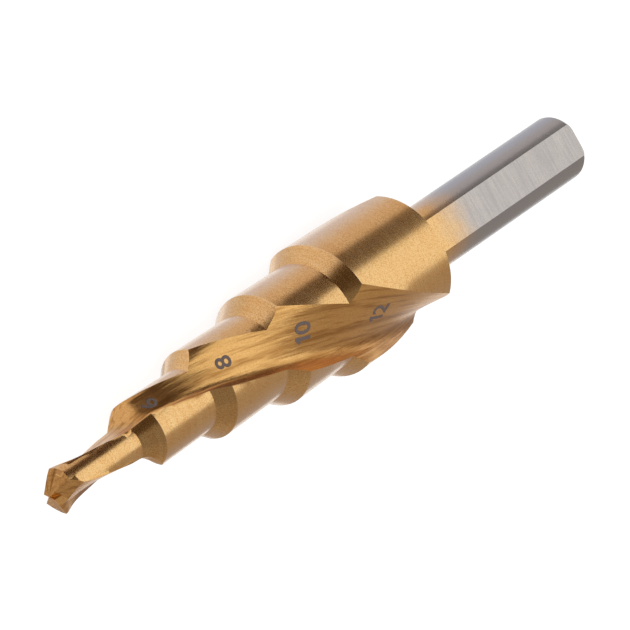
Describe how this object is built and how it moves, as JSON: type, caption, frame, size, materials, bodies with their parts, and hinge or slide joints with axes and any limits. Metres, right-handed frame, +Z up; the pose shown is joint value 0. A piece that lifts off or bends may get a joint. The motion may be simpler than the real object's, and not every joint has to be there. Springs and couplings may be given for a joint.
{
  "type": "step drill",
  "caption": "Helically fluted step drill: a pilot tip and cylindrical steps of rising diameter with conical shoulders, gold coated, on a plain steel shank with flats for a drill chuck.",
  "frame": {"origin": "centre of the footprint, on the surface the drill lies on", "axes": "+X along the drill from tip to shank, +Z up; the drill lies with a flute down, on three points of its two largest steps"},
  "size_m": [0.0702, 0.012, 0.0118],
  "materials": {
    "coated_steel": "satin"
  },
  "bodies": {
    "root": {"step_drill": "coated_steel"}
  },
  "joints": []
}
